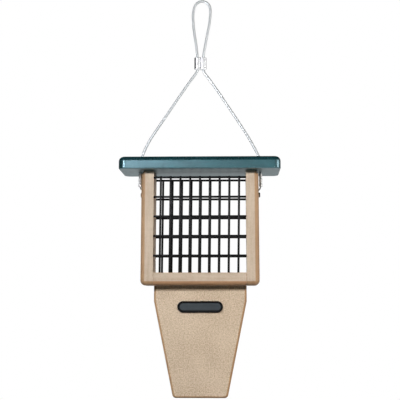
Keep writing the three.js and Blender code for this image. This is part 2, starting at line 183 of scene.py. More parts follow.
def moulded_lumber(name, shades, cut, thickness, length, relief_depth, skin, sawn, grit, gloss, tint, ior):
    """Recycled polyethylene lumber. Its two broad faces are the moulded skin: satin, mottled by the mixed
    flakes and faintly pebbled. Its narrow faces are sawn: plainer, with streaks of the melt along the
    board and soft cutter marks across it. A router leaves a smooth surface; the routed round-overs are
    multiplied by the deeper cut colour, which is painted shade where they turn away from the light."""
    body, pale, deep = shades
    made, tree = material(name)
    place = node(tree, "TexCoord").outputs["Object"]
    along, across = [node(tree, "Mapping", {
        "Vector": place, "Scale": [a if i == length else b for i in range(3)]})
        for a, b in ((0.1, 1), (1, 0.08))]
    # Which face it is: axis numbers of the board's thickness and length say where its skin lies
    facing = node(tree, "VectorMath", [node(tree, "NewGeometry").outputs["Normal"]], operation="ABSOLUTE")
    parts = node(tree, "SeparateXYZ", {"Vector": facing}).outputs
    widest = parts["X"]
    for part in (parts["Y"], parts["Z"]):
        widest = node(tree, "Math", [widest, part], operation="MAXIMUM")
    moulded = node(tree, "MapRange", [parts[thickness], 0.8, 0.96])
    routed = node(tree, "MapRange", [widest, 0.998, 0.975])
    # Patterns as so many to the metre: flakes 1.6 mm across, twice as coarse as the real ones so that they
    # show, a grit of 0.6 mm in the skin, streaks of the melt 3 mm wide, slow shifts of shade over 40 mm, and
    # cutter marks 5 mm apart
    flakes, specks, flow, drift, marks = [node(tree, "TexNoise", {
        "Vector": where, "Scale": to_the_metre, "Detail": detail, "Roughness": roughness})
        for where, to_the_metre, detail, roughness in (
            (place, 620, 3, 0.62), (place, 1700, 2, 0.6), (along, 300, 2, 0.5), (place, 26, 1, 0.5),
            (across, 210, 2, 0.4))]
    # Each pattern swings the shade by its reach, on the sawn faces and on the skin
    both = []
    for patterns in (((flow, 0.3, 0.4), (flakes, 0.34, 0.25), (marks, 0.3, 0.14)), ((flakes, 0.34, 1.15),)):
        shade = node(tree, "MapRange", [drift, 0.35, 0.65, -0.25, 0.25])
        for pattern, low, reach in patterns:
            swing = node(tree, "MapRange", [pattern, low, 1 - low, -reach, reach])
            shade = node(tree, "Math", [shade, swing], operation="ADD")
        both.append(shade)
    plain, mottled = both
    shade = node(tree, "Mix", {"Factor": moulded, "A": plain, "B": mottled}, data_type="FLOAT")
    colour = linear(body)
    for far, end in ((1.4, pale), (-1.4, deep)):
        colour = node(tree, "Mix", {
            "Factor": node(tree, "MapRange", [shade, 0.0, far]), "A": colour, "B": linear(end)},
            data_type="RGBA")
    # The routed round-overs are multiplied by the cut colour: painted shade where they turn away from the
    # light
    colour = node(tree, "Mix", {"Factor": routed, "A": colour, "B": linear(cut)},
                  data_type="RGBA", blend_type="MULTIPLY")
    dulled = node(tree, "Math", [
        node(tree, "MapRange", [marks, 0.3, 0.7, 0.012, -0.012]), sawn], operation="ADD")
    rough = node(tree, "Mix", {"Factor": moulded, "A": dulled, "B": skin}, data_type="FLOAT")
    for change in ([flakes, 0.3, 0.7, 0.05, -0.05], [routed, 0.0, 1.0, 0.0, -0.08]):
        rough = node(tree, "Math", [rough, node(tree, "MapRange", change)], operation="ADD")
    # Relief: the pebbling of the skin with its grit, or the marks of the cutter, fainter where routed
    pebbles = node(tree, "Math", [specks, 0.45, flakes], operation="MULTIPLY_ADD")
    ridges = node(tree, "Math", [marks, 0.8, pebbles], operation="MULTIPLY_ADD")
    faint = node(tree, "Math", [pebbles, grit], operation="MULTIPLY")
    relief = node(tree, "Bump", {
        "Height": node(tree, "Mix", {"Factor": moulded, "A": ridges, "B": faint}, data_type="FLOAT"),
        "Strength": node(tree, "MapRange", [routed, 0.0, 1.0, 0.55, 0.2]), "Distance": relief_depth})
    shader = node(tree, "BsdfPrincipled", {
        "Base Color": colour, "Roughness": rough, "Normal": relief, "IOR": ior,
        "Specular IOR Level": gloss, "Specular Tint": linear(tint)})
    node(tree, "OutputMaterial", {"Surface": shader})
    return made


def vinyl_coat():
    """Fused vinyl dip on the welded wire: near black, satin, with the faint waves of a dipped coat."""
    made, tree = material("black_fused_vinyl")
    place = node(tree, "TexCoord").outputs["Object"]
    # Waves 2.4 mm long
    waves = node(tree, "TexNoise", {"Vector": place, "Scale": 420, "Detail": 2, "Roughness": 0.5})
    rough = node(tree, "MapRange", [waves, 0.3, 0.7, 0.3, 0.42])
    relief = node(tree, "Bump", {"Height": waves, "Strength": 0.5, "Distance": 0.0002})
    shader = node(tree, "BsdfPrincipled", {
        "Base Color": linear("#060607"), "Roughness": rough, "Normal": relief, "IOR": 1.5,
        "Specular IOR Level": 0.17})
    node(tree, "OutputMaterial", {"Surface": shader})
    return made


def coated_cable():
    """Galvanised strand under a clear vinyl jacket: the jacket magnifies the six strands to its full
    width. They show as slanting bands below a smooth gloss, painted lighter on their crowns and darker in
    the
    grooves: painted highlight and shade of their relief."""
    made, tree = material("clear_coated_steel_cable")
    spot = node(tree, "SeparateXYZ", {"Vector": node(tree, "UVMap", uv_map="UVMap").outputs["UV"]}).outputs
    # Six strands with a lay of 20 mm, and their wires with one of 7 mm the other way; v is the distance
    # along the cable in millimetres and u the way round it
    waves = []
    for lay, count in ((20, 6), (-7, 14)):
        turns = node(tree, "Math", [spot["Y"], 1 / lay, spot["X"]], operation="MULTIPLY_ADD")
        turns = node(tree, "Math", [turns, count * math.tau], operation="MULTIPLY")
        waves.append(node(tree, "Math", [turns], operation="SINE"))
    strands, wires = waves
    crown = node(tree, "Math", [wires, 0.22, strands], operation="MULTIPLY_ADD")
    # Painted highlight on the crowns of the strands and painted shade in the grooves between them
    bright = node(tree, "MapRange", [crown, -1.1, 0.2], interpolation_type="SMOOTHSTEP")
    colour = node(tree, "Mix", {"Factor": bright, "A": linear("#b2b7ba"), "B": linear("#d4d8da")},
                  data_type="RGBA")
    relief = node(tree, "Bump", {"Height": crown, "Strength": 0.2, "Distance": 0.0001})
    shader = node(tree, "BsdfPrincipled", {
        "Base Color": colour, "Metallic": 0.35, "Roughness": 0.42, "Normal": relief,
        "Coat Weight": 0.6, "Coat Roughness": 0.2, "Coat IOR": 1.5})
    node(tree, "OutputMaterial", {"Surface": shader})
    return made


def bare_metal(name, bright, dull, roughness, grain, depth):
    """Bare metal with the soft cloudiness and fine marks that its making leaves."""
    made, tree = material(name)
    place = node(tree, "TexCoord").outputs["Object"]
    # The grain is how many clouds there are to the metre. The marks are six times finer, drawn out upwards
    drawn = node(tree, "Mapping", {"Vector": place, "Scale": (1, 1, 0.12)})
    clouds = node(tree, "TexNoise", {"Vector": place, "Scale": grain, "Detail": 3, "Roughness": 0.6})
    marks = node(tree, "TexNoise", {"Vector": drawn, "Scale": 6 * grain, "Detail": 2, "Roughness": 0.5})
    colour = node(tree, "Mix", {"Factor": clouds, "A": linear(dull), "B": linear(bright)}, data_type="RGBA")
    rough = node(tree, "MapRange", [clouds, 0.3, 0.7, roughness + 0.07, roughness - 0.05])
    relief = node(tree, "Bump", {"Height": marks, "Strength": 0.4, "Distance": depth})
    shader = node(tree, "BsdfPrincipled", {
        "Base Color": colour, "Metallic": 1.0, "Roughness": rough, "Normal": relief})
    node(tree, "OutputMaterial", {"Surface": shader})
    return made


def gloss_plate():
    """Moulded acrylic badge blank: a deep black rim round a crowned field, both with a hard gloss
    and a trace of handling haze. The field is painted a grey that stands for the reflection in its gloss."""
    made, tree = material("gloss_black_acrylic")
    place = node(tree, "TexCoord").outputs["Object"]
    # Haze in patches of 6 mm
    haze = node(tree, "TexNoise", {"Vector": place, "Scale": 160, "Detail": 4, "Roughness": 0.65})
    field = node(tree, "Attribute", attribute_name="field").outputs["Fac"]
    # The field's grey is painted reflection, in place of a stronger gloss
    field_painted_reflection = node(tree, "Mix", {"Factor": haze, "A": linear("#373c40"), "B": linear("#42494e")},
                    data_type="RGBA")
    colour = node(tree, "Mix", {"Factor": field, "A": linear("#020202"), "B": field_painted_reflection}, data_type="RGBA")
    rough = node(tree, "Math", [
        node(tree, "Mix", {"Factor": field, "A": 0.08, "B": 0.2}, data_type="FLOAT"),
        node(tree, "MapRange", [haze, 0.35, 0.7, 0.0, 0.08])], operation="ADD")
    shader = node(tree, "BsdfPrincipled", {
        "Base Color": colour, "Roughness": rough, "IOR": 1.49, "Specular IOR Level": 0.16})
    node(tree, "OutputMaterial", {"Surface": shader})
    return made


# The taupe boards are satin and take on no tint in their sheen; the green roof is glossier, and its sheen
# is bluish
X, Y, Z = range(3)
TAUPE = ("#c1af9b", "#d5c2af", "#a9937f")
# The tail board's taupe is a lighter copy of the boards' own: painted light on the tail board
TAUPE_TAIL_PAINTED_LIGHT = ("#c7b39b", "#ddc9b2", "#a9937a")
GREEN = ("#143e43", "#1f585e", "#0a272a")
# The deeper colours of the routed round-overs, here and for the rail and roof below, are painted shade on
# the rounded edges
ROUTED_EDGE_PAINTED_SHADE = "#e4caad"
satin = dict(skin=0.56, sawn=0.6, grit=1.0, gloss=0.35, tint="#ffffff", ior=1.5)
taupe_side = moulded_lumber("moulded_taupe_lumber_side", TAUPE, ROUTED_EDGE_PAINTED_SHADE, X, Z, 0.00018, **satin)
# The rail's deeper, redder routed colour is painted shade along its rounded lower edges
taupe_rail = moulded_lumber("moulded_taupe_lumber_rail", TAUPE, "#ebc9ac", Z, X, 0.00018, **satin)
taupe_tail = moulded_lumber("moulded_taupe_lumber_tail", TAUPE_TAIL_PAINTED_LIGHT, ROUTED_EDGE_PAINTED_SHADE, Y, Z, 0.00028, **satin)
# The roof's grey routed colour is painted shade on its rounded top edge and corners
green_roof = moulded_lumber("moulded_green_lumber", GREEN, "#c9cccc", Z, X, 0.00044,
                            skin=0.32, sawn=0.36, grit=0.7, gloss=1.0, tint="#c0e8f4", ior=1.64)
black_vinyl = vinyl_coat()
acrylic = gloss_plate()
cable_finish = coated_cable()
# Pressed aluminium is bright and almost white, with clouds of 3.3 mm, and tumbled aluminium is a duller
# grey, with clouds of 2.5 mm. The screws are a dark brown, in patches of 2 mm. The bare rope
# is a darker grey than its coated length, and varies every 1.4 mm
aluminium = bare_metal("pressed_aluminium", "#fafbfb", "#f0f1f2", 0.36, 300, 0.00001)
dull_aluminium = bare_metal("tumbled_aluminium", "#c4c2c0", "#9c9a97", 0.28, 400, 0.00003)
dark_steel = bare_metal("dark_brown_screw_steel", "#5f574e", "#352f2a", 0.42, 500, 0.00003)
stainless = bare_metal("stainless_wire_rope", "#7d7a74", "#4e4b46", 0.36, 700, 0.00002)


# ---- shapes ----

def edges_at(bm, x=None, y=None, z=None):
    """The edges that lie wholly at the given coordinates."""
    wanted = [(i, v) for i, v in enumerate((x, y, z)) if v is not None]
    return [e for e in bm.edges if all(abs(p.co[i] - v) < 1e-3 for p in e.verts for i, v in wanted)]


def round_over(bm, edges, radius, steps):
    bmesh.ops.bevel(bm, geom=edges, offset=radius, offset_type="OFFSET", segments=steps, profile=0.5,
                    affect="EDGES", material=-1, clamp_overlap=False)


def block(x0, x1, y0, y1, z0, z1):
    bm = bmesh.new()
    place = Matrix.Translation(((x0 + x1) / 2, (y0 + y1) / 2, (z0 + z1) / 2))
    size = Matrix.Diagonal((abs(x1 - x0), abs(y1 - y0), abs(z1 - z0), 1))
    bmesh.ops.create_cube(bm, size=1, matrix=place @ size)
    return bm


def turned(profile, steps):
    """A closed shape spun about Z from (radius, height) pairs that start and end on the axis."""
    bm = bmesh.new()
    points = [bm.verts.new((r, 0, h)) for r, h in profile]
    line = [bm.edges.new(pair) for pair in zip(points, points[1:])]
    bmesh.ops.spin(bm, geom=points + line, cent=(0, 0, 0), axis=(0, 0, 1), dvec=(0, 0, 0),
                   angle=math.tau, steps=steps, use_merge=True)
    bmesh.ops.remove_doubles(bm, verts=bm.verts, dist=1e-4)
    bmesh.ops.recalc_face_normals(bm, faces=bm.faces)
    return bm


def pill(length, width, segments, cuts=0):
    """A flat pill face along X, its straight sides cut so that they can be shaped."""
    bm = bmesh.new()
    bmesh.ops.create_circle(bm, cap_ends=True, radius=width / 2, segments=segments,
                            matrix=Matrix.Rotation(math.pi / segments, 4, "Z"))
    for v in bm.verts:
        v.co.x += math.copysign((length - width) / 2, v.co.x)
    if cuts:
        sides = [e for e in bm.edges if e.verts[0].co.x * e.verts[1].co.x < 0]
        bmesh.ops.bisect_edges(bm, edges=sides, cuts=cuts)
    return bm


def raised(bm, steps):
    """Draws the flat face of bm up through (height, scale in x, scale in y) steps into a closed shape."""
    foot = bm.faces[:][0]
    foot.normal_update()
    top = foot
    last = (0, 1, 1)
    for height, sx, sy in steps:
        grown = bmesh.ops.extrude_face_region(bm, geom=[top])["geom"]
        points = [g for g in grown if isinstance(g, bmesh.types.BMVert)]
        bmesh.ops.translate(bm, verts=points, vec=(0, 0, height - last[0]))
        bmesh.ops.scale(bm, verts=points, vec=(sx / last[1], sy / last[2], 1))
        if top is not foot:
            bmesh.ops.delete(bm, geom=[top], context="FACES_ONLY")
        top = [g for g in grown if isinstance(g, bmesh.types.BMFace)][0]
        last = (height, sx, sy)
    bmesh.ops.recalc_face_normals(bm, faces=bm.faces)
    return bm


def put(bm, matrix):
    bmesh.ops.transform(bm, matrix=matrix, verts=bm.verts)
    return bm


def joined(shapes):
    """Several shapes as one bmesh."""
    whole = bmesh.new()
    for bm in shapes:
        mesh = bpy.data.meshes.new("part")
        bm.to_mesh(mesh)
        bm.free()
        whole.from_mesh(mesh)
        bpy.data.meshes.remove(mesh)
    return whole


def carved(bm, tools):
    """bm with the tools cut out of it."""
    pair = []
    for shape in (bm, joined(tools)):
        mesh = bpy.data.meshes.new("stock")
        shape.to_mesh(mesh)
        shape.free()
        pair.append(bpy.data.objects.new("stock", mesh))
        bpy.context.collection.objects.link(pair[-1])
    cut = pair[0].modifiers.new("cut", "BOOLEAN")
    cut.operation = "DIFFERENCE"
    cut.solver = "EXACT"
    cut.object = pair[1]
    result = bpy.data.meshes.new_from_object(
        pair[0].evaluated_get(bpy.context.evaluated_depsgraph_get()))
    left = bmesh.new()
    left.from_mesh(result)
    for old in [o.data for o in pair] + [result]:
        bpy.data.meshes.remove(old)
    bmesh.ops.remove_doubles(left, verts=left.verts, dist=1e-4)
    return left


def lean_at(z):
    """How far the pull of the cable has drawn a side board in at a height."""
    return LEAN * (z - RAIL_BOTTOM) / (POST_TOP - RAIL_BOTTOM)


def leaned(bm, side):
    slope = Matrix()
    slope[0][2] = -side * LEAN / (POST_TOP - RAIL_BOTTOM)
    foot = Matrix.Translation((0, 0, RAIL_BOTTOM))
    return put(bm, foot @ slope @ foot.inverted())


def keep(bm, name, finish, slot, body="cage", stands_for=(), crease=35, soften=0.0, weighted=False):
    """Keeps a shape as a piece in metres, riding on its body."""
    bmesh.ops.scale(bm, vec=(MM, MM, MM), verts=bm.verts)
    mesh = bpy.data.meshes.new(name)
    bm.to_mesh(mesh)
    bm.free()
    mesh.shade_smooth()
    mesh.set_sharp_from_angle(angle=math.radians(crease))
    mesh.materials.append(finish)
    piece = bpy.data.objects.new(name, mesh)
    bpy.context.collection.objects.link(piece)
    if soften:
        edge = piece.modifiers.new("softened edges", "BEVEL")
        edge.width = soften * MM
        edge.segments = 2
        edge.limit_method = "ANGLE"
        edge.angle_limit = math.radians(40)
        edge.harden_normals = True
    if weighted:
        even = piece.modifiers.new("even faces", "WEIGHTED_NORMAL")
        even.keep_sharp = True
    if body:
        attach(piece, body)
    if stands_for:
        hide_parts(*stands_for)
    return piece


def smooth_line(points, spacing):
    """Points about a given distance apart on a smooth line through the given ones."""
    spots = [Vector(p) for p in points]
    ends = [2 * spots[0] - spots[1]] + spots + [2 * spots[-1] - spots[-2]]
    line = []
    for a, b, c, d in zip(ends, ends[1:], ends[2:], ends[3:]):
        parts = max(1, round((c - b).length / spacing))
        for i in range(parts):
            t = i / parts
            line.append(0.5 * (2 * b + (c - a) * t + (2 * a - 5 * b + 4 * c - d) * t ** 2
                               + (3 * b - a - 3 * c + d) * t ** 3))
    return line + [spots[-1]]


def frames_along(line):
    """A turning frame at each point of a line, carried along without twist."""
    ways = [((b if b is not None else c) - (a if a is not None else c)).normalized()
            for a, c, b in zip([None] + line[:-1], line, line[1:] + [None])]
    side = ways[0].orthogonal().normalized()
    frames = []
    for before, way in zip([ways[0]] + ways[:-1], ways):
        side = before.rotation_difference(way) @ side
        side = (side - side.dot(way) * way).normalized()
        frames.append((side, way.cross(side), way))
    return frames


def swept(line, radius, sides):
    """A capped tube along a line, with the distance along it in millimetres and the way round as UVs."""
    bm = bmesh.new()
    frames = frames_along(line)
    ring = bmesh.ops.create_circle(bm, cap_ends=False, radius=radius, segments=sides)["verts"]
    first = ring
    angles = [math.atan2(v.co.y, v.co.x) for v in ring]
    spot, distance = {}, 0.0
    for i, (point, (a, b, _)) in enumerate(zip(line, frames)):
        if i:
            distance += (point - line[i - 1]).length
            loop = [bm.edges.get((ring[j], ring[j - 1])) for j in range(sides)]
            grown = bmesh.ops.extrude_edge_only(bm, edges=loop)["geom"]
            fresh = {g for g in grown if isinstance(g, bmesh.types.BMVert)}
            ring = [next(e.other_vert(v) for e in v.link_edges if e.other_vert(v) in fresh) for v in ring]
        for j, v in enumerate(ring):
            v.co = point + radius * (math.cos(angles[j]) * a + math.sin(angles[j]) * b)
            spot[v] = (j / sides, distance)
    bm.faces.new(list(reversed(first)))
    bm.faces.new(ring)
    layer = bm.loops.layers.uv.new("UVMap")
    for face in bm.faces:
        turns = [spot[corner.vert][0] for corner in face.loops]
        for corner in face.loops:
            u, v = spot[corner.vert]
            # The last strip of the tube closes the way round, so its first side counts as a full turn
            if max(turns) - min(turns) > 0.5 and u < 0.5 and len(turns) == 4:
                u += 1
            corner[layer].uv = (u, v)
    bmesh.ops.recalc_face_normals(bm, faces=bm.faces)
    return bm


# ---- camera ----

# Focal length in pixels of a square picture, place in metres, and turn in degrees
FOCAL, PICTURE, SENSOR = 1069.22, 400, 36
camera = bpy.data.objects.new("camera", bpy.data.cameras.new("camera"))
bpy.context.collection.objects.link(camera)
camera.data.sensor_width = SENSOR
camera.data.lens = FOCAL / PICTURE * SENSOR
camera.data.clip_end = 20
camera.location = (0.04443, -1.40091, -0.39885)
yaw, pitch = math.radians(1.838), math.radians(5.432)
sight = Vector((-math.sin(yaw) * math.cos(pitch), math.cos(yaw) * math.cos(pitch), math.sin(pitch)))
camera.rotation_euler = sight.to_track_quat("-Z", "Y").to_euler()
bpy.context.scene.camera = camera


# ---- the cable ----

def cable_piece(name, points):
    line = smooth_line([(x, 0, z) for x, z in points], 2.0)
    piece = keep(swept(line, CABLE / 2, 20), name, cable_finish, "cable", body=None, crease=60)
    return piece, [list(p * MM) for p in line]


# The upper length ends out of sight in the roof's holes, where the two stubs from the sleeves meet it
over_roof = [p for p in ROUTE if p[1] > STUB_END + 0.1]
upper = [(-SLEEVE_X, STUB_END), *over_roof, (SLEEVE_X, STUB_END)]
cable, cable_line = cable_piece("hanging_cable_coated", upper)
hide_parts("hanging_cable")
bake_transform(cable)

for side, hand in ((-1, "left"), (1, "right")):
    tail = [(side * SLEEVE_X, SLEEVE[1] - 0.4 + i * 0.6) for i in range(18)]
    stub, _ = cable_piece("cable_end_" + hand, tail)
    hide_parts("hanging_cable")
    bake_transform(stub)


# ---- what is crimped on the cable ----

def loop_ferrule():
    """Two barrels pressed into one sleeve, so that a waist runs down its middle."""
    waist, spread = 0.3, 1.1
    bore, flare, half = 1.9, 2.0, 7
    bm = pill(2 * STRAND_X + BARREL, BARREL, segments=56, cuts=9)
    for v in bm.verts:
        v.co.y *= 1 - waist * math.exp(-(v.co.x / spread) ** 2)
    tall = FERRULE[1] - FERRULE[0]
    raised(bm, [(tall, 1, 1)])
    round_over(bm, edges_at(bm, z=0), 0.9, 5)
    round_over(bm, edges_at(bm, z=tall), 0.5, 4)
    put(bm, Matrix.Translation((0, 0, FERRULE[0])))
    drill = [(0, -12), (flare, -12), (flare, -half - 0.6), (bore, -half),
             (bore, half), (flare, half + 0.6), (flare, 12), (0, 12)]
    return carved(bm, [put(turned(drill, steps=28), Matrix.Translation((s * STRAND_X, 0, sum(FERRULE) / 2)))
                       for s in (-1, 1)])


ferrule = keep(loop_ferrule(), "loop_ferrule_pressed", aluminium, "ferrule",
               stands_for=["loop_ferrule"], crease=40, weighted=True)


def end_sleeve(side):
    """Oval sleeve with two bands where the crimping tool bit."""
    end_scale = (0.9, 0.86)
    bite_scale = (0.93, 0.9)
    bm = pill(*SLEEVE_OVAL, segments=40)
    tall = SLEEVE[1] - SLEEVE[0]
    steps = [(0.02, 1, 1), (0.6, 1, 1)]
    for centre in (5.4, 11.6):
        steps += [(centre - 2.1, 1, 1), (centre - 1.5, *bite_scale), (centre + 1.5, *bite_scale),
                  (centre + 2.1, 1, 1)]
    raised(bm, steps + [(tall - 0.6, 1, 1), (tall - 0.02, 1, 1), (tall, *end_scale)])
    foot = [v for v in bm.verts if abs(v.co.z) < 1e-4]
    bmesh.ops.scale(bm, verts=foot, vec=(*end_scale, 1))
    slot = raised(pill(*SLEEVE_SLOT, segments=32), [(tall + 4, 1, 1)])
    put(slot, Matrix.Translation((0, 0, -2)))
    place = Matrix.Translation((side * SLEEVE_X, 0, SLEEVE[0])) @ Matrix.Rotation(math.pi / 2, 4, "Z")
    return put(carved(bm, [slot]), place)


def eye_line(side):
    """The bare eye: down in the sleeve, into its pocket, round the screw and back up."""
    floor = OUTER_HALF - lean_at(SCREW_Z) - POCKET_DEEP + SEAT + EYE_WIRE / 2
    foot = SLEEVE[0]
    down = [(SLEEVE_X, 0.85, SLEEVE[1] + 0.1), (SLEEVE_X, 0.85, foot + 3), (SLEEVE_X, 0.95, foot + 0.6),
            (SLEEVE_X - 0.35, 1.25, foot - 1.6), (SLEEVE_X - 1.5, 1.9, foot - 3.6),
            (floor + 0.7, 2.5, foot - 5.4), (floor + 0.1, 2.8, foot - 7.4)]
    turns = [math.pi * i / 10 for i in range(11)]
    bend = [(floor, EYE_RADIUS * math.cos(t), SCREW_Z - EYE_RADIUS * math.sin(t)) for t in turns]
    up = [(x, -y, z) for x, y, z in reversed(down)]
    return smooth_line([(side * x, y, z) for x, y, z in down + bend + up], 0.8)


def wire_rope(line, diameter):
    """Six wires laid round a core along a line."""
    frames = frames_along(line)
    wire, lay = diameter / 6, 9.0
    strands = [swept(line, wire, 6)]
    for k in range(6):
        distance, path = 0.0, []
        for i, (point, (a, b, _)) in enumerate(zip(line, frames)):
            distance += (point - line[i - 1]).length if i else 0.0
            turn = math.tau * (k / 6 + distance / lay)
            path.append(point + 2 * wire * (math.cos(turn) * a + math.sin(turn) * b))
        strands.append(swept(path, wire, 6))
    return joined(strands)


def cross_recess(width, length, depth):
    """A cross-shaped pocket for a driver, open upwards from zero."""
    wings = []
    for turn in (0, math.pi / 2):
        wing = block(-length / 2, length / 2, -width / 2, width / 2, -depth, 2)
        low = [v for v in wing.verts if v.co.z < 0]
        bmesh.ops.scale(wing, verts=low, vec=(0.35, 0.8, 1))
        wings.append(put(wing, Matrix.Rotation(turn, 4, "Z")))
    return wings


def pan_screw(side):
    """The screw through the eye, its head upright at the rim, rounded over and a little crowned."""
    shank, head, rim, corner, crown = 1.75, 3.3, 0.9, 1.15, 2.15
    quarter = [math.pi / 2 * i / 6 for i in range(1, 7)]
    profile = [(0, -12.5), (shank, -8.5), (shank, 0), (head, 0), (head, rim)]
    profile += [(head - corner + corner * math.cos(t), rim + corner * math.sin(t)) for t in quarter]
    bm = turned(profile + [(0, crown)], steps=36)
    for wing in cross_recess(0.8, 3.4, 1.3):
        bm = carved(bm, [put(wing, Matrix.Translation((0, 0, crown - 0.05)))])
    return put(bm, Matrix.Translation((side * (OUTER_HALF + SEAT - lean_at(SCREW_Z)), 0, SCREW_Z))
               @ Matrix.Rotation(side * math.pi / 2, 4, "Y") @ Matrix.Rotation(0.5, 4, "Z"))


def flat_screw(length, place, turn):
    shank, head = 1.7, 3.5
    profile = [(0, -length), (shank, -length + 4), (shank, -2.2), (head - 0.2, -0.35), (head, -0.2),
               (head - 0.05, 0), (0, 0)]
    bm = turned(profile, steps=36)
    for wing in cross_recess(0.8, 3.8, 1.4):
        bm = carved(bm, [wing])
    return put(bm, place @ Matrix.Rotation(turn, 4, "Z"))


for side, hand in ((-1, "left"), (1, "right")):
    keep(end_sleeve(side), "end_sleeve_pressed_" + hand, dull_aluminium, "ferrule",
                         stands_for=["end_sleeve_" + hand], crease=40)
    keep(wire_rope(eye_line(side), EYE_WIRE), "cable_eye_rope_" + hand, stainless, "steel",
                         stands_for=["cable_eye_" + hand], crease=60)
    keep(pan_screw(side), "cable_screw_driven_" + hand, dark_steel, "steel",
         stands_for=["cable_screw_" + hand], crease=40)


# ---- boards ----

def countersink(place):
    """The pocket that a flat-head screw sits in, opening upwards from zero."""
    hole, mouth = 2.1, 3.75
    profile = [(0, -3), (hole, -3), (hole, -2.3), (mouth, -0.35), (mouth, 4), (0, 4)]
    return put(turned(profile, steps=36), place)


def rail_screw_place(side, y):
    return (Matrix.Translation((side * (OUTER_HALF - SEAT), y, RAIL_BOTTOM + RAIL_SCREW_RISE))
            @ Matrix.Rotation(side * math.pi / 2, 4, "Y"))


def tail_screw_place(side):
    return Matrix.Translation((side * TAIL_SCREW_X, 0, RAIL_TOP - SEAT))


def kerfs(x0, x1, top):
    return [block(x0, x1, s * KERF_NEAR, s * KERF_FAR, KERF_FOOT, top + OVERRUN) for s in (-1, 1)]


def side_board(side):
    """Routed all round its outer face and along its foot, kerfed for the mesh, pocketed for the eye."""
    near, far = side * CAGE_HALF, side * OUTER_HALF
    bm = block(near, far, -CAGE_FRONT, CAGE_FRONT, RAIL_BOTTOM, POST_TOP)
    routed = edges_at(bm, x=far)
    for y in (-CAGE_FRONT, CAGE_FRONT):
        routed += edges_at(bm, y=y, z=RAIL_BOTTOM)
    round_over(bm, list(set(routed)), FRAME_ROUND, FRAME_STEPS)
    tools = kerfs(near - side * OVERRUN, near + side * KERF_DEEP, POST_TOP)
    tools += [countersink(rail_screw_place(side, y)) for y in (-RAIL_SCREW_Y, RAIL_SCREW_Y)]
    long, wide = POCKET
    pocket = raised(pill(long, wide, segments=40), [(8, 1, 1)])
    round_over(pocket, edges_at(pocket, z=0), POCKET_ROUND, 4)
    middle = SCREW_Z + (long - wide) / 2
    tools.append(put(pocket, Matrix.Translation((side * (OUTER_HALF - POCKET_DEEP), 0, middle))
                     @ Matrix.Rotation(side * math.pi / 2, 4, "Y")))
    return leaned(carved(bm, tools), side)


def bottom_rail():
    bm = block(-RAIL_HALF, RAIL_HALF, -CAGE_FRONT, CAGE_FRONT, RAIL_BOTTOM, RAIL_TOP)
    routed = edges_at(bm, y=-CAGE_FRONT, z=RAIL_BOTTOM) + edges_at(bm, y=CAGE_FRONT, z=RAIL_BOTTOM)
    round_over(bm, routed, FRAME_ROUND, FRAME_STEPS)
    return carved(bm, kerfs(-RAIL_HALF - OVERRUN, RAIL_HALF + OVERRUN, RAIL_TOP)
                  + [countersink(tail_screw_place(side)) for side in (-1, 1)])


def tail_board():
    """Straight for 20 mm below the rail, then tapering to its round-cornered foot."""
    bm = block(-RAIL_HALF, RAIL_HALF, -TAIL_FRONT, TAIL_FRONT, TAIL_FOOT, TAIL_TOP)
    bmesh.ops.bisect_plane(bm, geom=bm.verts[:] + bm.edges[:] + bm.faces[:], dist=1e-4,
                           plane_co=(0, 0, TAIL_TAPER), plane_no=(0, 0, 1))
    foot = [v for v in bm.verts if v.co.z < TAIL_TAPER - 1]
    bmesh.ops.scale(bm, verts=foot, vec=(TAIL_FOOT_HALF / RAIL_HALF, 1, 1))
    broad = (-TAIL_FRONT, TAIL_FRONT)
    bmesh.ops.dissolve_edges(bm, edges=[e for y in broad for e in edges_at(bm, y=y, z=TAIL_TAPER)])
    corners = [e for x in (-TAIL_FOOT_HALF, TAIL_FOOT_HALF) for e in edges_at(bm, x=x, z=TAIL_FOOT)]
    round_over(bm, corners, TAIL_CORNER, 6)
    rim = [e for y in broad for e in edges_at(bm, y=y)]
    rim = [e for e in rim if not all(abs(v.co.z - TAIL_TOP) < 1e-3 for v in e.verts)]
    round_over(bm, rim, TAIL_ROUND, 6)
    return bm


def roof_board():
    """Round-cornered, routed round its top, eased below, with a loose hole for each leg of the cable."""
    bm = block(-ROOF_HALF, ROOF_HALF, -ROOF_FRONT, ROOF_FRONT, ROOF_UNDER, ROOF_TOP)
    corners = [e for x in (-ROOF_HALF, ROOF_HALF) for y in (-ROOF_FRONT, ROOF_FRONT)
               for e in edges_at(bm, x=x, y=y)]
    round_over(bm, corners, ROOF_CORNER, 10)
    round_over(bm, edges_at(bm, z=ROOF_TOP), FRAME_ROUND, FRAME_STEPS)
    round_over(bm, edges_at(bm, z=ROOF_UNDER), ROOF_EASE, 4)
    drill = [(0, -12), (ROOF_HOLE, -12), (ROOF_HOLE, 12), (0, 12)]
    middle = (ROOF_TOP + ROOF_UNDER) / 2
    return carved(bm, [put(turned(drill, steps=32), Matrix.Translation((s * SLEEVE_X, 0, middle)))
                       for s in (-1, 1)])


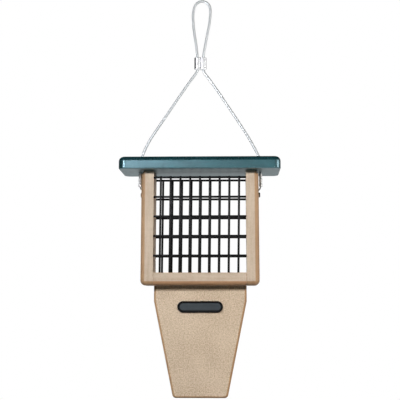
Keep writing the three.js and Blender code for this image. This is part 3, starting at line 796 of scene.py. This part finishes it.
as_board = dict(soften=0.35, weighted=True)
for side, hand in ((-1, "left"), (1, "right")):
    keep(side_board(side), "side_board_routed_" + hand, taupe_side, "cage_plastic",
         stands_for=["side_board_" + hand], **as_board)
    for y, end in ((-RAIL_SCREW_Y, "front"), (RAIL_SCREW_Y, "back")):
        keep(flat_screw(RAIL_SCREW_LENGTH, rail_screw_place(side, y), 0.3 + y * side / 9),
             f"rail_screw_driven_{hand}_{end}", dark_steel, "steel",
             stands_for=[f"rail_screw_{hand}_{end}"], crease=40)
    keep(flat_screw(TAIL_SCREW_LENGTH, tail_screw_place(side), 0.9 * side), "tail_screw_driven_" + hand,
         dark_steel, "steel", stands_for=["tail_screw_" + hand], crease=40)
keep(bottom_rail(), "bottom_rail_routed", taupe_rail, "cage_plastic", stands_for=["bottom_rail"], **as_board)
keep(tail_board(), "tail_board_routed", taupe_tail, "cage_plastic", stands_for=["tail_board"], **as_board)
keep(roof_board(), "roof_board_routed", green_roof, "roof_plastic", body="roof", stands_for=["roof_board"],
     **as_board)


# ---- wire mesh ----

def rod(length, place):
    """A length of wire with the vinyl drawn round its sheared ends."""
    bm = bmesh.new()
    bmesh.ops.create_cone(bm, cap_ends=True, segments=14, radius1=WIRE / 2, radius2=WIRE / 2,
                          depth=length, matrix=Matrix())
    round_over(bm, edges_at(bm, z=length / 2) + edges_at(bm, z=-length / 2), 0.5, 3)
    return put(bm, place)


def mesh_panel(face):
    """Level wires inside, upright wires outside, the vinyl pooled round each weld. The panel was cut a
    little out of square, and stands where its kerfs let it."""
    parts = []
    lowest = TOP_WIRE - (ROWS - 1) * PITCH_Z
    middle = (TOP_WIRE + lowest) / 2
    tall = TOP_WIRE - lowest + UPRIGHT_EXTRA
    between = (LEVEL_Y + UPRIGHT_Y) / 2
    lie = Matrix.Rotation(math.pi / 2, 4, "Y")
    heights = [TOP_WIRE - row * PITCH_Z for row in range(ROWS)]
    for z in heights:
        parts.append(rod(LEVEL_LENGTH, Matrix.Translation((0, face * LEVEL_Y, z)) @ lie))
    for column in range(COLUMNS):
        x = (column - COLUMNS // 2) * PITCH_X
        parts.append(rod(tall, Matrix.Translation((x, face * UPRIGHT_Y, middle))))
        for z in heights:
            weld = bmesh.new()
            bmesh.ops.create_uvsphere(weld, u_segments=10, v_segments=6, radius=1)
            parts.append(put(weld, Matrix.Translation((x, face * between, z)) @ Matrix.Diagonal((*WELD, 1))))
    bm = joined(parts)
    for v in bm.verts:
        if abs(v.co.y - face * LEVEL_Y) > (UPRIGHT_Y - LEVEL_Y) / 2:
            v.co.x += MESH_LEAN * (v.co.z - middle)
    return put(bm, Matrix.Translation((MESH_SHIFT, 0, face * MESH_DROP)))


for face, where in ((-1, "front"), (1, "back")):
    keep(mesh_panel(face), "mesh_welded_" + where, black_vinyl, "mesh_coat", stands_for=["mesh_" + where],
         crease=50)


# ---- plate ----

def badge():
    """A pill-shaped plate with a raised rim round a shallow crowned field."""
    bm = pill(*BADGE, segments=72)
    raised(bm, [(BADGE_THICK, 1, 1)])
    round_over(bm, edges_at(bm, z=BADGE_THICK), BADGE_EDGE, 4)
    field = max(bm.faces, key=lambda f: f.calc_center_median().z + f.calc_area() * 1e-3)
    enamel = bm.verts.layers.float.new("field")
    # Steps inwards as (inset, rise): the rim, down to the field, and up over its crown
    for inset, rise in ((1.8, 0), (0.2, -0.42), (0.15, -0.03), (0.5, 0.17), (0.7, 0.13), (0.9, 0.08),
                        (1.1, 0.05), (1.0, 0.01)):
        bmesh.ops.inset_region(bm, faces=[field], thickness=inset, depth=0, use_even_offset=True)
        bmesh.ops.translate(bm, verts=field.verts[:], vec=(0, 0, rise))
        for v in field.verts:
            v[enamel] = 1.0 if rise > 0 else 0.0
    place = Matrix.Translation((0, -TAIL_FRONT - SEAT, BADGE_Z)) @ Matrix.Rotation(math.pi / 2, 4, "X")
    return put(bm, place)


keep(badge(), "badge_plate_bare", acrylic, "badge", stands_for=["badge_plate"], crease=50, weighted=True)


# ---- studio ----

def lamp(name, place, aim, width, height, power, reflects=True, lights=True, even=False, colour=(1, 1, 1)):
    """A rectangular lamp. An even one gives the same light at any distance, as a far window does."""
    light = bpy.data.lights.new(name, "AREA")
    light.shape = "RECTANGLE"
    light.size, light.size_y = width, height
    light.energy = power
    light.color = colour
    if even:
        light.use_nodes = True
        tree = light.node_tree
        tree.nodes.clear()
        falloff = node(tree, "LightFalloff", {"Strength": 1.0}).outputs["Constant"]
        node(tree, "OutputLight", {"Surface": node(tree, "Emission", {"Strength": falloff})})
    made = bpy.data.objects.new(name, light)
    made.location = place
    made.rotation_euler = (Vector(aim) - Vector(place)).to_track_quat("-Z", "Y").to_euler()
    made.visible_glossy = reflects
    made.visible_diffuse = lights
    made.visible_camera = False
    bpy.context.collection.objects.link(made)


# A lamp lights the boards or shows in their gloss, and the two "face" lamps are those that show
CAGE = (0, 0, -0.33)
KEY_AIM = (0, -0.02, -0.36)
lamp("key", (-0.26, -0.45, -0.136), KEY_AIM, 0.14, 0.03, 6.9, reflects=False, even=True,
     colour=(0.97, 1.0, 1.03))
lamp("key face", (-0.26, -0.45, -0.15), KEY_AIM, 0.14, 0.05, 8.0, lights=False, even=True,
     colour=(1.0, 0.99, 1.07))
lamp("right", (0.66, -0.78, -0.07), CAGE, 0.24, 0.08, 7.2, reflects=False, colour=(1.0, 0.96, 0.91))
lamp("right face", (0.87, -0.25, -0.15), CAGE, 0.3, 0.3, 3.0, lights=False)
lamp("left", (-0.95, -0.15, 0.1), CAGE, 0.3, 0.35, 2.8, reflects=False)
lamp("side", (0.85, 0.45, -0.1), CAGE, 0.35, 0.5, 1.2, reflects=False)
lamp("back", (-0.5, 1.3, 0.15), (0, 0, -0.34), 1.2, 1.2, 24.0, reflects=False)
lamp("over", (0.1, 0.3, 1.1), (0, 0, -0.3), 0.8, 0.8, 1.6, reflects=False)

FLOOR_Z = -0.86
floor_mesh = bmesh.new()
bmesh.ops.create_circle(floor_mesh, cap_ends=True, radius=2.5, segments=96,
                        matrix=Matrix.Translation((0, 0, FLOOR_Z)))
floor_data = bpy.data.meshes.new("floor")
floor_mesh.to_mesh(floor_data)
floor_mesh.free()
floor = bpy.data.objects.new("floor", floor_data)
bpy.context.collection.objects.link(floor)

# A pale painted floor: it shows white where the light is full, keeps the shadow, and fades into the
# backdrop. What it throws back on the object is a darker grey, as from a floor further off
floor_paint, tree = material("pale_studio_floor")
rays = node(tree, "LightPath").outputs
seen = rays["Is Camera Ray"]
for kind in ("Is Glossy Ray", "Is Transmission Ray"):
    seen = node(tree, "Math", [seen, rays[kind]], operation="MAXIMUM")
lit = node(tree, "BsdfDiffuse", {"Color": linear("#4a4a48")})
shadowed = node(tree, "BsdfDiffuse", {"Color": linear("#bfbfbf")})
glow = node(tree, "Emission", {"Color": (1, 1, 1, 1), "Strength": 0.72})
white = node(tree, "Emission", {"Color": (1, 1, 1, 1), "Strength": 1.0})
near = node(tree, "AddShader", [shadowed, glow])
distance = node(tree, "VectorMath", [
    node(tree, "TexCoord").outputs["Object"], (0, 0, -FLOOR_Z)], operation="ADD")
distance = node(tree, "VectorMath", [distance], operation="LENGTH")
fade = node(tree, "MapRange", [distance, 0.45, 1.1], interpolation_type="SMOOTHSTEP")
pale = node(tree, "MixShader", [fade, near, white])
node(tree, "OutputMaterial", {"Surface": node(tree, "MixShader", [seen, lit, pale])})
floor_data.materials.append(floor_paint)

# White backdrop. In reflections the studio shows as it is: white in front, grey behind and to the right,
# and dark to the left and overhead. Each wall is (axis, from, to, how bright)
world = bpy.data.worlds.new("studio")
bpy.context.scene.world = world
world.use_nodes = True
tree = world.node_tree
tree.nodes.clear()
AMBIENT = 0.012  # what the backdrop adds to the lamps' light
rays = node(tree, "LightPath").outputs
way = node(tree, "SeparateXYZ", {"Vector": node(tree, "TexCoord").outputs["Generated"]}).outputs
mirrored = 1.0
for axis, start, full, bright in (("Z", 0.2, 0.5, 0.03), ("X", -0.5, -0.8, 0.06), ("Y", 0.2, 0.75, 0.4),
                                  ("X", 0.6, 0.9, 0.4), ("Y", 0.1, -0.6, 0.95)):
    wall = node(tree, "MapRange", [way[axis], start, full, 1.0, bright], interpolation_type="SMOOTHSTEP")
    mirrored = node(tree, "Math", [mirrored, wall], operation="MULTIPLY")
bounced = node(tree, "Math", [rays["Is Glossy Ray"], rays["Is Transmission Ray"]], operation="MAXIMUM")
level = node(tree, "Mix", {"Factor": bounced, "A": AMBIENT, "B": mirrored}, data_type="FLOAT")
level = node(tree, "Mix", {"Factor": rays["Is Camera Ray"], "A": level, "B": 1.0}, data_type="FLOAT")
backdrop = node(tree, "Background", {"Color": (1, 1, 1, 1), "Strength": level})
node(tree, "OutputWorld", {"Surface": backdrop})

bpy.context.scene.view_settings.view_transform = "Standard"
